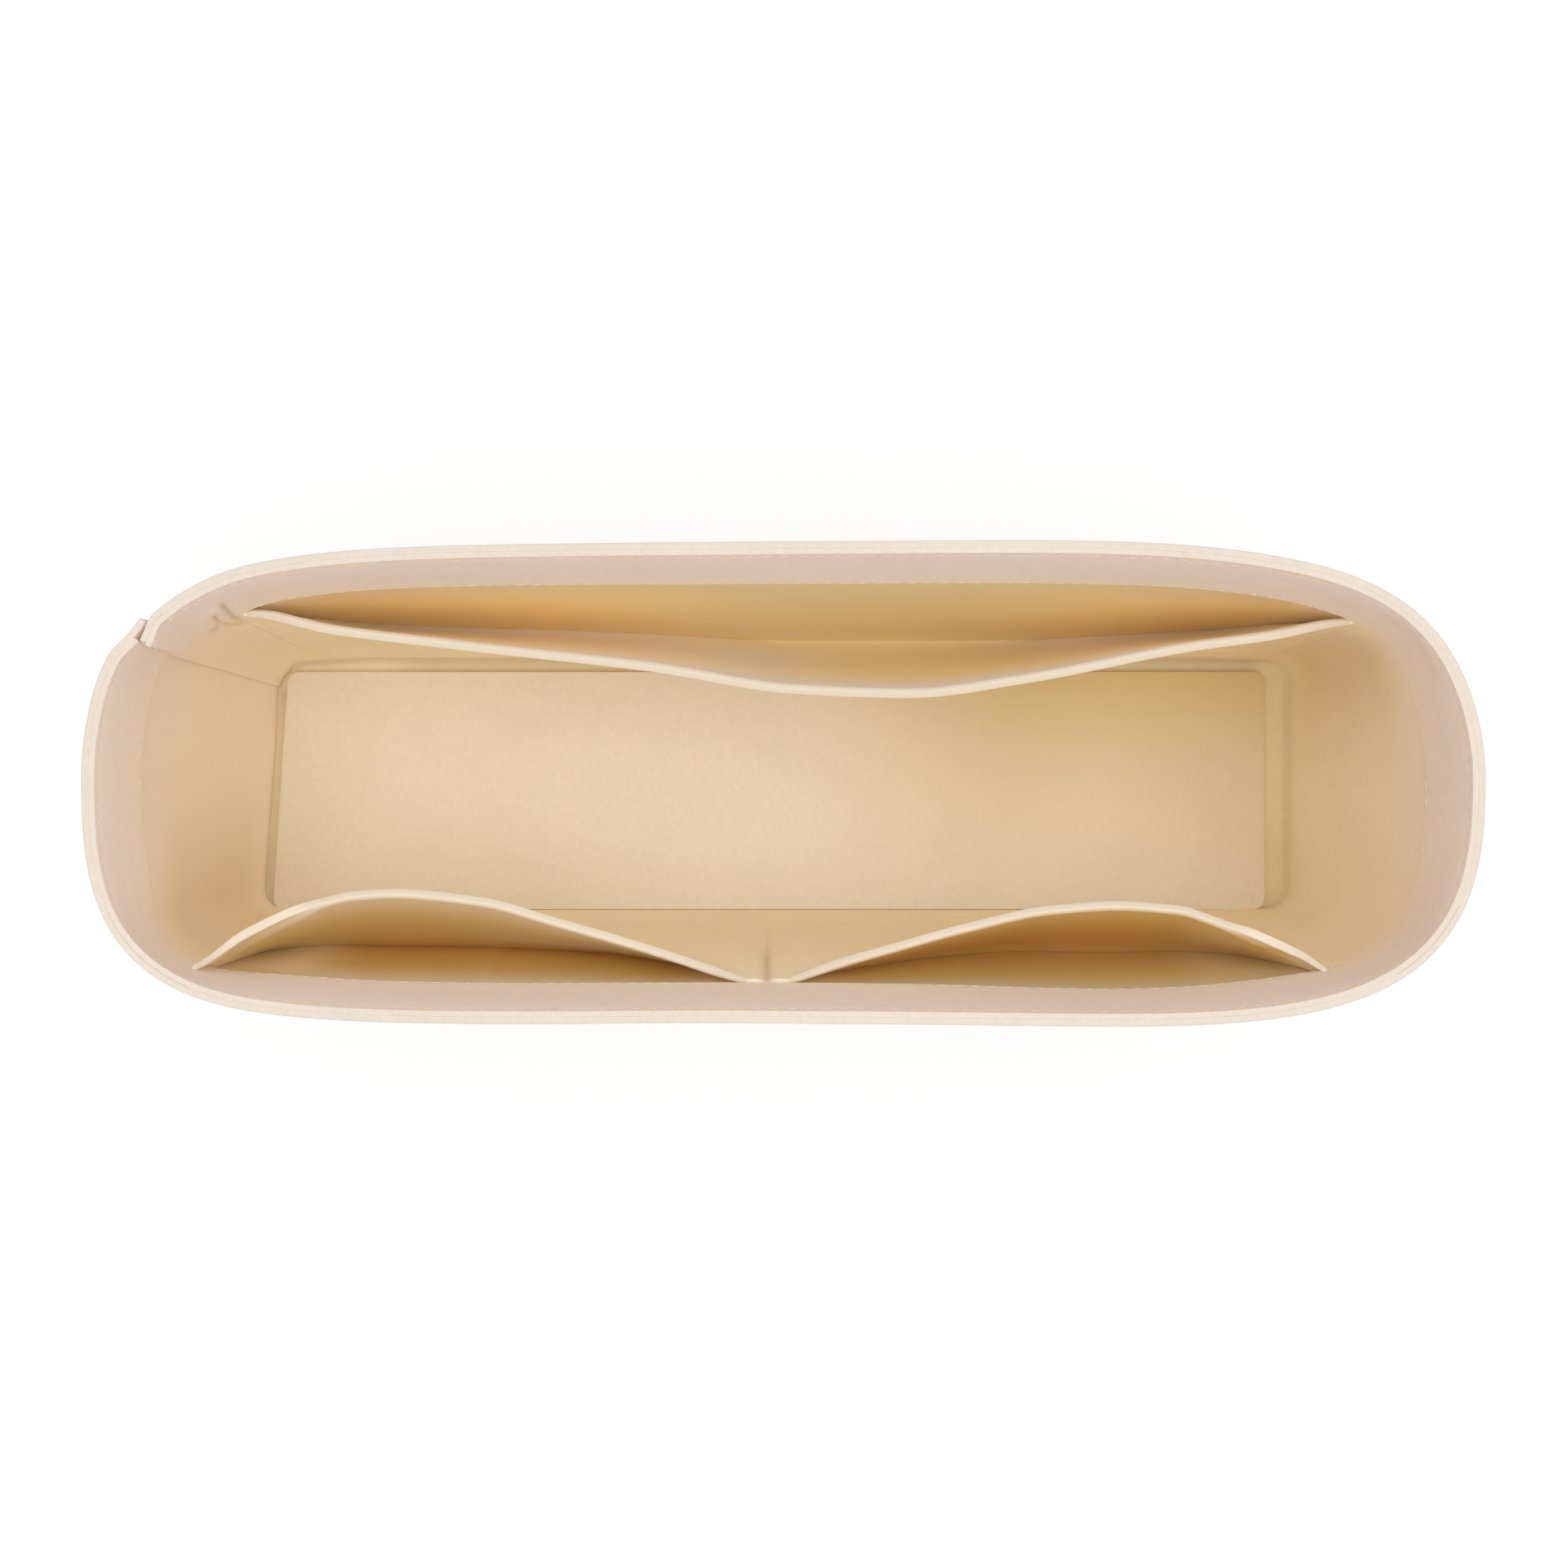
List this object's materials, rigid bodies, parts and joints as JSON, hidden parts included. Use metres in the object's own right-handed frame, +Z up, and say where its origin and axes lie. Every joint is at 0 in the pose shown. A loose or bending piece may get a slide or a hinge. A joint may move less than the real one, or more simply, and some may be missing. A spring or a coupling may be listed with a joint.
{
  "type": "felt purse organizer insert",
  "caption": "Open felt tub that stands inside a handbag, with a wide pocket on one long side, a stitched pair of pockets on the other, and a loose stiff board on its floor.",
  "frame": {"origin": "under the middle of the rim, on the surface that the insert stands on", "axes": "+X to the right along the length, +Y to the rear where the wide pocket is, +Z up"},
  "size_m": [0.25, 0.0864, 0.145],
  "materials": {
    "wall_felt": "matt pressed felt, beige",
    "facing_felt": "matt pressed felt, beige, a little paler",
    "pocket_felt": "matt pressed felt, beige",
    "board_felt": "matt pressed felt, beige",
    "board_core": "plain stiff sheet, hidden between two felts"
  },
  "bodies": {
    "tub": {"wall_strip": "wall_felt", "rim_facing": "facing_felt", "rear_pocket_panel": "pocket_felt", "front_pocket_panel": "pocket_felt", "floor_panel": "wall_felt"},
    "base_board": {"base_board_bottom_felt": "board_felt", "base_board_core": "board_core", "base_board_top_felt": "board_felt"}
  },
  "joints": [
    {"name": "base_board_lift", "type": "slide", "parent": "tub", "child": "base_board", "axis": [0, 0, 1], "range_m": [0, 0.04]}
  ]
}
